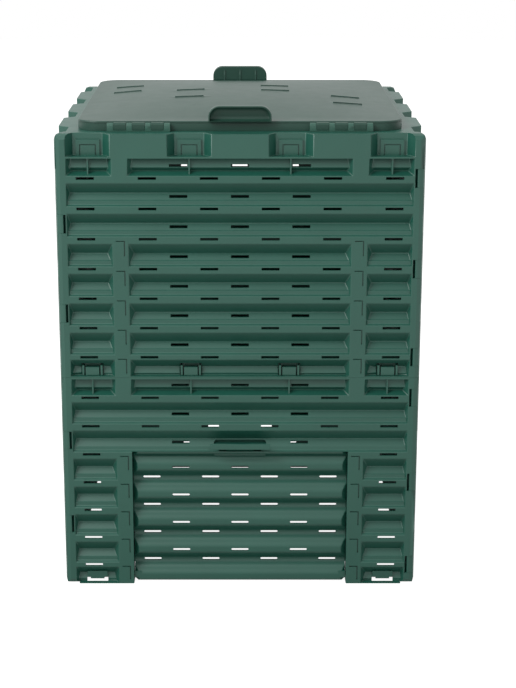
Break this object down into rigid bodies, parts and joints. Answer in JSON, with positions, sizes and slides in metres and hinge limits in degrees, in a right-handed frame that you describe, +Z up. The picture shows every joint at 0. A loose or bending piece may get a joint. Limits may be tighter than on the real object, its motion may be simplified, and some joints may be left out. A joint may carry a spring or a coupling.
{
  "type": "compost bin",
  "caption": "Square garden compost bin of slatted plastic wall panels in two tiers, with a louvred hatch at the foot and a hinged lid with finger grips.",
  "frame": {"origin": "middle of the whole footprint, hatch pull included, at the ground", "axes": "+Z up, hatch side towards -Y, +X to the right when the hatch side is faced"},
  "size_m": [0.61, 0.621, 0.8353],
  "materials": {
    "wall_plastic": "moulded recycled polypropylene, satin, dark green",
    "lid_plastic": "moulded recycled polypropylene, finely grained, dark green",
    "hinge_plastic": "moulded polypropylene, satin, dark green"
  },
  "bodies": {
    "bin": {"wall_lower_front": "wall_plastic", "wall_lower_right": "wall_plastic", "wall_lower_back": "wall_plastic", "wall_lower_left": "wall_plastic", "wall_upper_front": "wall_plastic", "wall_upper_right": "wall_plastic", "wall_upper_back": "wall_plastic", "wall_upper_left": "wall_plastic", "hinge_bracket_front_left": "hinge_plastic", "hinge_bracket_front_right": "hinge_plastic", "hinge_bracket_rear_left": "hinge_plastic", "hinge_bracket_rear_right": "hinge_plastic", "hinge_rod_front_left": "hinge_plastic", "hinge_rod_front_right": "hinge_plastic", "hinge_rod_rear_left": "hinge_plastic", "hinge_rod_rear_right": "hinge_plastic"},
    "lid": {"lid": "lid_plastic"},
    "hatch": {"hatch": "wall_plastic", "hatch_pull": "wall_plastic", "hatch_pin_left": "hinge_plastic", "hatch_pin_right": "hinge_plastic"}
  },
  "joints": [
    {"name": "lid_hinge", "type": "hinge", "parent": "bin", "child": "lid", "pos_m": [0, 0.281, 0.8025], "axis": [-1, 0, 0], "range_deg": [0, 95]},
    {"name": "hatch_hinge", "type": "hinge", "parent": "bin", "child": "hatch", "pos_m": [0, -0.288, 0.015], "axis": [1, 0, 0], "range_deg": [0, 85]}
  ]
}
